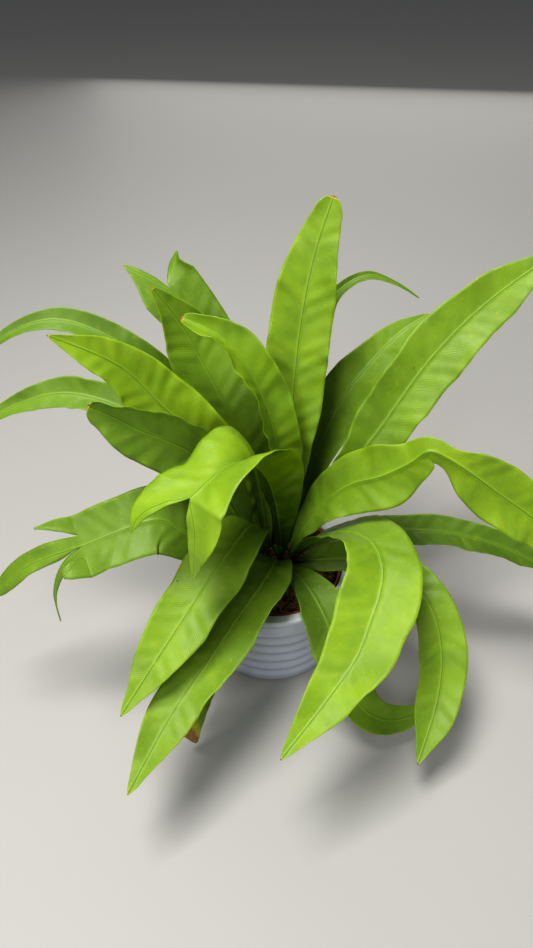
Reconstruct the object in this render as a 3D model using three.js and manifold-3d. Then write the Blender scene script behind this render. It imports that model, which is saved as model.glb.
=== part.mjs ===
// A fern of the bird's-nest kind with long, wavy, strap-shaped fronds, some of them forked at the tip.
// It grows from a short upright rhizome in coir potting mix, in a terracotta-coloured nursery pot that
// stands inside a ribbed, glazed cover pot. Millimetres, +Z up. The origin is the middle of the cover
// pot's foot, on the surface that it stands on.
import * as THREE from 'three';
import Module from 'manifold-3d';
import { mergeVertices } from 'three/addons/utils/BufferGeometryUtils.js';

const wasm = await Module();
wasm.setup();

// ---------------------------------------------------------------- driving dimensions
const GAP = 0.3;                 // clearance between pieces that touch
const ROUND = 44;                // sides of the turned pieces

const COVER = {
  height: 90, rimRadius: 69, mouthRadius: 60.5,   // outside and inside of the flat rim
  footRadius: 60, wallRadius: 64, wall: 4.5, floor: 6,
  ribs: 5, ribPitch: 12, ribDepth: 1.6,           // horizontal ribs, counted up from the foot
  bandTop: 77, lipDepth: 4,                       // plain band above the ribs, then the lip
};
const NURSERY = {
  rimRadius: 59.6, bandHeight: 10, topRadius: 57, baseRadius: 43, wall: 1.4, floor: 1.6,
  holes: 6, holeRadius: 4, holeCircle: 28, holeSides: 14,
};
const MIX = { surface: 81, ripple: 1.3, rings: 9 };
const CROWN = { x: 8, y: 4, radius: 15, height: 13 };
const BLADE = { rows: 14, columns: 4, thickness: 0.9 };

// ---------------------------------------------------------------- the fronds
// Each frond follows its midrib: a route of [x, y, z] points from the crown to the tip. The lists that
// go with it are read at equal steps along the frond, from the stalk to the tip:
//   wide  full width of the blade, mm            roll  turn of the blade about its midrib, degrees
//   fold  lift of both half blades, degrees      curl  how far the half blades bend towards the margin
// A pair [left, right] in fold or curl gives the two halves apart. The left half is on the left as one
// looks out from the crown. A forked frond has prongs, which share out its columns from the left.
const FRONDS = [
  { name: 'frond_back_tall',
    route: [[11, 12, 95], [14, 26, 205], [20, 49, 285], [30, 65, 338], [42, 75, 375]],
    wide: [4, 15, 30, 43, 48, 48, 37, 16], roll: [15, 20], fold: [25, 12, 8, 6], curl: [15, 8] },
  { name: 'frond_back_right_long',
    route: [[18, 7, 95], [46, 17, 150], [83, 32, 202], [122, 54, 257], [161, 72, 294], [212, 87, 330]],
    wide: [4, 12, 28, 46, 50, 47, 36, 6], roll: [20, 40, 44, 44], fold: [22, 12, 8], curl: [12, 8] },
  { name: 'frond_back_right_inner',
    route: [[13, 14, 95], [34, 42, 160], [54, 68, 203], [78, 86, 230], [106, 100, 256], [130, 109, 268]],
    wide: [4, 12, 28, 42, 44, 38, 24, 4], roll: [12, 30], fold: [20, 12], curl: [12] },
  { name: 'frond_back_narrow',
    route: [[8, 16, 95], [22, 46, 200], [35, 80, 250], [49, 98, 289], [74, 105, 303], [98, 108, 295],
      [119, 110, 282]],
    wide: [3, 9, 17, 20, 18, 12, 7, 2], roll: [15, 25, 40], fold: [22, 15], curl: [12] },
  { name: 'frond_back_forked',
    route: [[1, 15, 95], [-11, 40, 169], [-36, 66, 222], [-62, 90, 272], [-82, 98, 296]],
    wide: [4, 16, 30, 42, 50, 50], roll: [-15, -28], fold: [24, 12, 4], curl: [10],
    prongs: [
      { share: 2, route: [[-93, 96, 301], [-104, 99, 307], [-117, 102, 313]], wide: [22, 12, 2] },
      { share: 2, route: [[-80, 106, 304], [-78, 111, 311], [-75, 116, 319]], wide: [25, 17, 3] }] },
  { name: 'frond_back_left',
    route: [[-3, 10, 96], [-16, 28, 178], [-36, 39, 222], [-54, 51, 256], [-69, 56, 286], [-88, 54, 317]],
    wide: [4, 20, 42, 60, 64, 54, 36, 5], roll: [-20, -36, -48], fold: [24, 12, 8], curl: [12] },
  { name: 'frond_left_rolled',
    route: [[4, 8, 97], [3, 11, 165], [0, 14, 222], [-13, 19, 258], [-25, 23, 279], [-43, 27, 294],
      [-66, 31, 304]],
    wide: [4, 16, 32, 40, 42, 40, 32, 12], roll: [-20, -30, -30], fold: [30, 32, 28], curl: [25] },
  { name: 'frond_left_bright',
    route: [[-6, 4, 96], [-34, 4, 166], [-60, 7, 219], [-84, 9, 246], [-103, 9, 272],
      [-119, 4, 288], [-151, -5, 310]],
    wide: [4, 20, 38, 50, 52, 44, 28, 4], roll: [-30, -50, -55, -50], fold: [20, 10], curl: [8] },
  { name: 'frond_left_far',
    route: [[-6, 12, 94], [-38, 32, 158], [-76, 50, 222], [-106, 60, 257], [-138, 66, 276],
      [-170, 68, 284], [-206, 63, 273], [-232, 57, 252]],
    wide: [4, 14, 26, 30, 28, 22, 14, 3], roll: [-20, -35, -45], fold: [22, 14], curl: [12] },
  { name: 'frond_left_level',
    route: [[-8, 7, 93], [-54, 15, 168], [-101, 27, 219], [-135, 35, 233], [-168, 40, 235],
      [-212, 36, 221], [-243, 30, 202]],
    wide: [4, 16, 28, 34, 32, 26, 16, 3], roll: [-25, -40, -45], fold: [22, 14], curl: [14] },
  { name: 'frond_left_folded',
    route: [[-8, -2, 95], [-25, -13, 145], [-44, -18, 192], [-60, -25, 228], [-75, -30, 242],
      [-92, -33, 253], [-107, -34, 264], [-124, -35, 274]],
    wide: [4, 14, 30, 44, 50, 48, 40, 18], roll: [-20, -38, -45], fold: [[5, 20], [-15, 30], [-28, 36]],
    curl: [[0, 20], [0, 45], [-10, 60]] },
  { name: 'frond_centre_star',
    route: [[7, -3, 96], [4, -12, 150], [-5, -28, 205], [-19, -46, 234], [-34, -65, 243], [-54, -85, 236]],
    wide: [5, 14, 22, 32, 42, 52, 62, 66, 60, 56, 62], roll: [0],
    fold: [[20, 20], [22, 22], [25, 25], [28, 28], [32, 32], [38, 40], [46, 50], [52, 58], [46, 34], [25, 2],
      [4, 0]],
    curl: [[15, 15], [10, 10], [5, 0], [0, -20], [-15, -50], [-20, -25], [5, 5]],
    prongs: [
      { share: 2, route: [[-42, -92, 231], [-45, -101, 218], [-50, -105, 204], [-54, -107, 184]],
        wide: [30, 28, 18, 3] },
      { share: 2, route: [[-74, -80, 238], [-82, -82, 233], [-90, -86, 223], [-94, -90, 210]],
        wide: [26, 20, 13, 2.5] }] },
  { name: 'frond_left_three_tips',
    route: [[-5, -7, 92], [-38, -32, 130], [-64, -42, 162], [-84, -46, 181], [-110, -53, 177],
      [-140, -60, 167]],
    wide: [4, 24, 40, 48, 50, 50], roll: [-30, -45, -35], fold: [12, 4], curl: [6],
    prongs: [
      { share: 1, route: [[-143, -79, 165], [-147, -80, 163], [-151, -80, 160]], wide: [12, 13, 9] },
      { share: 1, route: [[-152, -70, 160], [-161, -71, 152], [-167, -71, 131], [-166, -71, 96]],
        wide: [10, 7, 5, 2] },
      { share: 1, route: [[-153, -59, 166], [-170, -60, 158], [-187, -62, 148], [-208, -64, 127],
        [-222, -65, 112]], wide: [14, 20, 19, 14, 2] },
      { share: 1, route: [[-146, -46, 174], [-160, -45, 174], [-178, -46, 172]], wide: [11, 8, 2] }] },
  { name: 'frond_front_left_upper',
    route: [[-2, -7, 95], [-10, -20, 142], [-19, -41, 169], [-37, -68, 162], [-59, -100, 145],
      [-79, -127, 128], [-104, -160, 105]],
    wide: [4, 8, 25, 42, 47, 42, 27, 4], roll: [0, -10, -20], fold: [12, 6, 8], curl: [8] },
  { name: 'frond_front_left_lower',
    route: [[5, -9, 93], [2, -27, 117], [-7, -56, 126], [-28, -88, 118], [-49, -121, 108],
      [-70, -152, 97], [-97, -200, 76]],
    wide: [4, 32, 47, 46, 40, 28, 4], roll: [0, -5, -10], fold: [15, 8], curl: [8] },
  { name: 'frond_front_left_browned',
    route: [[-1, -10, 92], [-16, -38, 104], [-32, -72, 98], [-46, -98, 76], [-57, -116, 44],
      [-65, -127, 17]],
    wide: [4, 12, 20, 22, 20, 14], roll: [0], fold: [18], curl: [10] },
  { name: 'frond_front_curled',
    route: [[12, -9, 93], [19, -28, 103], [32, -50, 104], [43, -70, 92], [54, -88, 65], [64, -99, 40],
      [78, -109, 26], [98, -112, 22], [136, -102, 30]],
    wide: [4, 24, 42, 44, 40, 30, 21, 4], roll: [0, 15, 15], fold: [18, 10], curl: [10] },
  { name: 'frond_front_right',
    route: [[16, -4, 95], [30, -11, 122], [46, -20, 141], [62, -31, 153], [75, -47, 158], [80, -70, 156],
      [77, -88, 150], [69, -107, 141], [58, -130, 131], [40, -152, 121], [4, -192, 106]],
    wide: [6, 30, 44, 52, 58, 55, 43, 26, 4], roll: [5, 5, 0, -10], fold: [[0, 14], [8, 16], [10, 10]],
    curl: [[0, 10], [8, 8]] },
  { name: 'frond_right_hanging',
    route: [[18, -5, 92], [34, -12, 102], [58, -20, 112], [84, -32, 117], [110, -52, 117],
      [124, -72, 108], [130, -94, 84], [126, -118, 60], [107, -158, 38]],
    wide: [4, 34, 36, 36, 36, 38, 30, 4], roll: [15, 12, 0], fold: [16, 8], curl: [8] },
  { name: 'frond_right_arching',
    route: [[15, 2, 97], [35, 3, 142], [53, -1, 169], [66, -6, 183], [81, -12, 193], [102, -18, 212],
      [113, -22, 226], [126, -26, 222], [145, -31, 211], [165, -36, 197], [193, -42, 178], [225, -50, 146]],
    wide: [5, 22, 36, 42, 48, 50, 30, 16, 40, 46, 42, 30, 4], roll: [15, 45, 55, 45],
    fold: [[20, 15], [10, 10], [10, -20], [10, -35], [10, -10], [12, 0]], curl: [8] },
  { name: 'frond_right_low',
    route: [[20, 3, 92], [46, 8, 110], [80, 8, 119], [115, 6, 120], [149, 2, 121], [191, -4, 112],
      [246, -12, 86]],
    wide: [4, 14, 24, 28, 26, 20, 4], roll: [10, 30, 35], fold: [15], curl: [12] },
  { name: 'frond_young',
    route: [[5, -7, 97], [4, -14, 112], [2, -22, 125], [1, -27, 135]],
    wide: [3, 9, 12, 4], roll: [0], fold: [35, 25], curl: [20] },
];

// ---------------------------------------------------------------- finishes
const FINISH = {
  glaze: { color: 0x9a9eae, roughness: 0.32, metalness: 0 },
  terracottaPlastic: { color: 0xa5543c, roughness: 0.55, metalness: 0 },
  coir: { color: 0x8a6a48, roughness: 0.95, metalness: 0 },
  rhizome: { color: 0x4a3524, roughness: 0.9, metalness: 0 },
  frond: { color: 0x7cab10, roughness: 0.42, metalness: 0 },
};

const plant = new THREE.Group();

function addPiece(name, geometry, finish) {
  const mesh = new THREE.Mesh(geometry, new THREE.MeshStandardMaterial(FINISH[finish]));
  mesh.name = name;
  plant.add(mesh);
  return mesh;
}

// ---------------------------------------------------------------- turned pieces
// A profile of [radius, height] pairs, turned about the Z axis.
function turned(profile, sides = ROUND) {
  const points = profile.map(([radius, height]) => new THREE.Vector2(radius, height));
  return new THREE.LatheGeometry(points, sides).rotateX(Math.PI / 2);
}

// The cover pot: a slightly tapered wall with rounded ribs, a plain band and a lip with a flat rim.
function coverPot() {
  const ribStart = (COVER.bandTop - COVER.ribs * COVER.ribPitch) / 2 - 5;
  const ribEnd = ribStart + COVER.ribs * COVER.ribPitch;
  const wallAt = (z) => THREE.MathUtils.lerp(COVER.footRadius, COVER.wallRadius, z / COVER.bandTop);
  const outside = [[0, 0], [COVER.footRadius - 3, 0], [COVER.footRadius - 0.8, 1.2]];
  const stepsPerRib = 4;
  for (let step = 0; step <= COVER.ribs * stepsPerRib; step += 1) {
    const z = ribStart + (step * COVER.ribPitch) / stepsPerRib;
    const bulge = Math.abs(Math.sin((Math.PI * step) / stepsPerRib));
    outside.push([wallAt(z) - COVER.ribDepth * (1 - bulge), z]);
  }
  outside.push([wallAt(ribEnd + 3), ribEnd + 3], [COVER.wallRadius, COVER.bandTop]);
  const lipFoot = COVER.height - COVER.lipDepth;
  const lip = [
    [COVER.wallRadius + 1.6, COVER.bandTop + 2], [COVER.wallRadius + 1.8, lipFoot - 2],
    [COVER.rimRadius - 1.2, lipFoot], [COVER.rimRadius, lipFoot + 1.2],
    [COVER.rimRadius, COVER.height - 1], [COVER.rimRadius - 1, COVER.height],
    [COVER.mouthRadius + 1, COVER.height], [COVER.mouthRadius, COVER.height - 1],
  ];
  const inside = [
    [COVER.mouthRadius, COVER.bandTop], [COVER.footRadius - COVER.wall, COVER.floor + 4],
    [COVER.footRadius - COVER.wall - 4, COVER.floor], [0, COVER.floor],
  ];
  return turned([...outside, ...lip, ...inside]);
}

// three.js geometry to a manifold solid and back, for the one cut that is made.
function toSolid(geometry) {
  const bare = geometry.index ? geometry.clone() : geometry;
  bare.deleteAttribute('normal');
  bare.deleteAttribute('uv');
  const merged = mergeVertices(bare, 1e-4);
  return new wasm.Manifold(new wasm.Mesh({
    numProp: 3,
    vertProperties: new Float32Array(merged.attributes.position.array),
    triVerts: new Uint32Array(merged.index.array),
  }));
}

function toGeometry(solid) {
  const mesh = solid.getMesh();
  const geometry = new THREE.BufferGeometry();
  geometry.setAttribute('position', new THREE.BufferAttribute(new Float32Array(mesh.vertProperties), 3));
  geometry.setIndex(new THREE.BufferAttribute(new Uint32Array(mesh.triVerts), 1));
  return geometry;
}

// The nursery pot: a thin tapered shell with a rolled band at the mouth and drain holes in its floor.
const NURSERY_FOOT = COVER.floor + GAP;
const NURSERY_TOP = COVER.height - 1.5;

function nurseryPot() {
  const { rimRadius, topRadius, baseRadius, wall, floor } = NURSERY;
  const bandFoot = NURSERY_TOP - NURSERY.bandHeight;
  const floorTop = NURSERY_FOOT + floor;
  const shell = toSolid(turned([
    [0, NURSERY_FOOT], [baseRadius - 2, NURSERY_FOOT], [baseRadius, NURSERY_FOOT + 2],
    [topRadius - 0.5, bandFoot - 1], [topRadius + 1.4, bandFoot], [rimRadius - 0.3, NURSERY_TOP - 2],
    [rimRadius, NURSERY_TOP], [topRadius, NURSERY_TOP], [topRadius - wall, bandFoot - 2],
    [baseRadius - wall, floorTop + 1.5], [baseRadius - wall - 1.5, floorTop], [0, floorTop],
  ]));
  let cut = shell;
  for (let hole = 0; hole < NURSERY.holes; hole += 1) {
    const angle = (2 * Math.PI * hole) / NURSERY.holes;
    const drill = new THREE.CylinderGeometry(
      NURSERY.holeRadius, NURSERY.holeRadius, 4 * floor, NURSERY.holeSides).rotateX(Math.PI / 2);
    drill.translate(NURSERY.holeCircle * Math.cos(angle), NURSERY.holeCircle * Math.sin(angle),
      NURSERY_FOOT + floor / 2);
    cut = cut.subtract(toSolid(drill));
  }
  return toGeometry(cut);
}

// The potting mix: a plug that fills the nursery pot, with an uneven top. The ripple keeps its surface
// irregular without a sharp step, and dies out at the pot's wall.
function mixHeight(x, y) {
  const radius = Math.hypot(x, y);
  const edge = THREE.MathUtils.smoothstep(NURSERY.topRadius - radius, 0, 8);
  const lumps = Math.sin(x / 4.1 + 1) * Math.cos(y / 3.7) + 0.6 * Math.sin((x + y) / 2.9);
  return MIX.ripple * edge * lumps;
}

function pottingMix() {
  const { topRadius, baseRadius, wall, floor } = NURSERY;
  const bandFoot = NURSERY_TOP - NURSERY.bandHeight;
  const foot = NURSERY_FOOT + floor + GAP;
  const mouth = topRadius - wall - GAP;
  const profile = [[0, foot], [baseRadius - wall - 1.9, foot], [baseRadius - wall - GAP - 0.2, foot + 1.8]];
  profile.push([mouth - 0.2, bandFoot - 2.5], [mouth, MIX.surface - 0.2]);
  for (let ring = 1; ring <= MIX.rings; ring += 1) {
    profile.push([mouth * (1 - ring / MIX.rings), MIX.surface]);
  }
  const geometry = turned(profile, 36);
  const position = geometry.attributes.position;
  for (let index = 0; index < position.count; index += 1) {
    if (position.getZ(index) > MIX.surface - 0.1) {
      const lift = mixHeight(position.getX(index), position.getY(index));
      position.setZ(index, MIX.surface + Math.min(lift, 2) - MIX.ripple);
    }
  }
  return geometry;
}

// The crown: the tip of the rhizome with the stubs of old stalks, sitting on the mix.
function crown() {
  const foot = MIX.surface + MIX.ripple;
  const steps = 6;
  const profile = [[0, foot], [CROWN.radius - 1, foot]];
  for (let step = 1; step < steps; step += 1) {
    const angle = (step / steps) * (Math.PI / 2);
    profile.push([CROWN.radius * Math.cos(angle), foot + CROWN.height * Math.sin(angle)]);
  }
  profile.push([0, foot + CROWN.height]);
  const geometry = turned(profile, 20);
  return geometry.translate(CROWN.x, CROWN.y, 0);
}

// ---------------------------------------------------------------- frond blades
// Reads a list of values at t between 0 and 1, with a smooth curve through equally spaced values.
function readList(list, t) {
  const last = list.length - 1;
  if (last === 0) return list[0];
  const place = Math.min(Math.max(t, 0), 1) * last;
  const cell = Math.min(Math.floor(place), last - 1);
  const before = list[Math.max(cell - 1, 0)];
  const after = list[Math.min(cell + 2, last)];
  const f = place - cell;
  const [a, b] = [list[cell], list[cell + 1]];
  const slopeA = (b - before) / 2;
  const slopeB = (after - a) / 2;
  const value = (2 * f ** 3 - 3 * f ** 2 + 1) * a + (f ** 3 - 2 * f ** 2 + f) * slopeA
    + (3 * f ** 2 - 2 * f ** 3) * b + (f ** 3 - f ** 2) * slopeB;
  return THREE.MathUtils.clamp(value, Math.min(a, b), Math.max(a, b));
}

function readHalf(list, t, half) {
  return readList(list.map((value) => (Array.isArray(value) ? value[half] : value)), t);
}

// One row across the blade at t: points from the left margin to the right margin.
function bladeRow(curve, shape, t, columns, from, to) {
  const middle = curve.getPointAt(t);
  const along = curve.getTangentAt(t);
  const reach = curve.getPointAt(Math.min(t + 0.2, 1)).sub(curve.getPointAt(Math.max(t - 0.2, 0)));
  const whole = curve.getPointAt(1).sub(curve.getPointAt(0));
  const heading = reach.addScaledVector(whole, 0.15).setZ(0).normalize();
  const left = new THREE.Vector3(-heading.y, heading.x, 0);
  left.addScaledVector(along, -left.dot(along)).normalize();
  const upper = new THREE.Vector3().crossVectors(along, left).normalize();
  const roll = THREE.MathUtils.degToRad(readList(shape.roll ?? [0], t));
  const across = left.clone().multiplyScalar(Math.cos(roll)).addScaledVector(upper, Math.sin(roll));
  const face = upper.clone().multiplyScalar(Math.cos(roll)).addScaledVector(left, -Math.sin(roll));
  const halfWidth = readList(shape.wide, t) / 2;
  const row = [];
  for (let column = from; column <= to; column += 1) {
    const s = 1 - (2 * (column - from)) / (to - from);      // 1 at the left margin, -1 at the right
    const half = s > 0 ? 0 : 1;
    const fold = THREE.MathUtils.degToRad(readHalf(shape.fold ?? [10], t, half));
    const curl = THREE.MathUtils.degToRad(readHalf(shape.curl ?? [0], t, half));
    const bend = (curl * Math.abs(s)) / 2;
    const chord = halfWidth * (Math.abs(bend) > 1e-6 ? Math.sin(bend) / bend : 1);
    const out = chord * s * Math.cos(fold + bend);
    const lift = chord * Math.abs(s) * Math.sin(fold + bend);
    row.push(middle.clone().addScaledVector(across, out).addScaledVector(face, lift));
  }
  return row;
}

// A blade is a sheet of quads. Prongs start on the trunk's last row and ease onto their own route.
function bladeSheet(frond) {
  const points = [];
  const quads = [];
  const addRow = (row) => row.map((point) => points.push(point) - 1);
  const joinRows = (lower, upper) => {
    for (let column = 0; column < lower.length - 1; column += 1) {
      quads.push([lower[column], upper[column], upper[column + 1], lower[column + 1]]);
    }
  };
  const grow = (shape, rows, from, to, firstRow) => {
    const curve = new THREE.CatmullRomCurve3(
      shape.route.map((place) => new THREE.Vector3(...place)), false, 'centripetal');
    let previous = firstRow ?? addRow(bladeRow(curve, shape, 0, BLADE.columns, from, to));
    const start = bladeRow(curve, shape, 0, BLADE.columns, from, to);
    const ease = start.map((point, column) => points[previous[column]].clone().sub(point));
    for (let step = 1; step <= rows; step += 1) {
      const t = step / rows;
      const row = bladeRow(curve, shape, t, BLADE.columns, from, to);
      if (firstRow) row.forEach((point, column) => point.addScaledVector(ease[column], (1 - t) ** 2));
      const next = addRow(row);
      joinRows(previous, next);
      previous = next;
    }
    return previous;
  };
  const trunkEnd = grow(frond, BLADE.rows, 0, BLADE.columns, null);
  let column = 0;
  for (const prong of frond.prongs ?? []) {
    const shape = { fold: [8], curl: [0], roll: [frond.roll.at(-1)], ...prong };
    grow(shape, 4, column, column + prong.share, trunkEnd.slice(column, column + prong.share + 1));
    column += prong.share;
  }
  return { points, quads };
}

// Gives a sheet its thickness: an upper and a lower skin, joined all round the margin.
function thicken({ points, quads }, thickness) {
  const normals = points.map(() => new THREE.Vector3());
  for (const quad of quads) {
    const [a, b, c, d] = quad.map((index) => points[index]);
    const normal = new THREE.Vector3().crossVectors(c.clone().sub(a), d.clone().sub(b));
    for (const index of quad) normals[index].add(normal);
  }
  const position = [];
  for (const side of [0.5, -0.5]) {
    points.forEach((point, index) => {
      const skin = point.clone().addScaledVector(normals[index].clone().normalize(), side * thickness);
      position.push(skin.x, skin.y, skin.z);
    });
  }
  const below = points.length;
  const triangles = [];
  const edges = new Map();
  for (const [a, b, c, d] of quads) {
    triangles.push(a, b, c, a, c, d);
    triangles.push(below + a, below + c, below + b, below + a, below + d, below + c);
    for (const [from, to] of [[a, b], [b, c], [c, d], [d, a]]) edges.set(`${from}_${to}`, [from, to]);
  }
  for (const [from, to] of edges.values()) {
    if (!edges.has(`${to}_${from}`)) {
      triangles.push(to, from, below + from, to, below + from, below + to);
    }
  }
  const geometry = new THREE.BufferGeometry();
  geometry.setAttribute('position', new THREE.Float32BufferAttribute(position, 3));
  geometry.setIndex(triangles);
  return geometry;
}

// ---------------------------------------------------------------- assembly
addPiece('cover_pot', coverPot(), 'glaze');
addPiece('nursery_pot', nurseryPot(), 'terracottaPlastic');
addPiece('potting_mix', pottingMix(), 'coir');
addPiece('crown', crown(), 'rhizome');
for (const frond of FRONDS) {
  addPiece(frond.name, thicken(bladeSheet(frond), BLADE.thickness), 'frond');
}

export default plant;
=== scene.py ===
"""A potted fern: fine fronds, crown, coir mix, nursery pot and ribbed cover pot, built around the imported
CAD frame. Sizes are worked out in millimetres and turned into metres as each mesh is made."""
import math

import bmesh
import bpy
import numpy as np
from bpy.props import FloatProperty, FloatVectorProperty, IntProperty, PointerProperty
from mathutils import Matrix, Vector


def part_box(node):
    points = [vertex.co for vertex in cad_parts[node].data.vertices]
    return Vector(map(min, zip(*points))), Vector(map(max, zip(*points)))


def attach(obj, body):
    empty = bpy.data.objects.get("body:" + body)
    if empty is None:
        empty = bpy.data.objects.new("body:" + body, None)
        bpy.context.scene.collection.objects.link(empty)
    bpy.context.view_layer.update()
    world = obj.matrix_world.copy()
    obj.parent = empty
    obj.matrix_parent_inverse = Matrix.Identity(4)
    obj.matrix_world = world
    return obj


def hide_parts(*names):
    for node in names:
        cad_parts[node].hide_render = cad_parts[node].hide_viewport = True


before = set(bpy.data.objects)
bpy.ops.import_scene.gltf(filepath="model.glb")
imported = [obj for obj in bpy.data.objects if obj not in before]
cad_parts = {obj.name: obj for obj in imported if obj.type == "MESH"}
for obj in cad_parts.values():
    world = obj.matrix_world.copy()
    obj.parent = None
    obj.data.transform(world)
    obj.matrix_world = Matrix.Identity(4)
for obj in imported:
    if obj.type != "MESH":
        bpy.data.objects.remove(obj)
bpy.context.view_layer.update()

bl_info = {
    "name": "Potted Fern",
    "version": (1, 0, 0),
    "blender": (4, 5, 0),
    "location": "3D View > Sidebar > Potted Fern",
    "description": "Builds a potted fern with wavy and forked fronds in a ribbed cover pot",
    "category": "Add Mesh",
}

MM = 0.001
TURN = 2 * math.pi
BODY = "root"
VEIN_LEAN = 0.62     # how far a side vein runs on to the tip for each millimetre from the midrib
PRONG_ROWS = 44      # steps along a prong of a forked frond
QUARTER = 7          # columns in each quarter of a blade


def node_box(node):
    """A CAD node's lowest and highest corners, in millimetres."""
    low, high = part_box(node)
    return np.array(low) / MM, np.array(high) / MM


def linear(text, alpha=1.0):
    """An sRGB hex colour as the linear values that Blender's sockets take."""
    values = [int(text[i:i + 2], 16) / 255 for i in (0, 2, 4)]
    return [v / 12.92 if v <= 0.04045 else ((v + 0.055) / 1.055) ** 2.4 for v in values] + [alpha]


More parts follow.
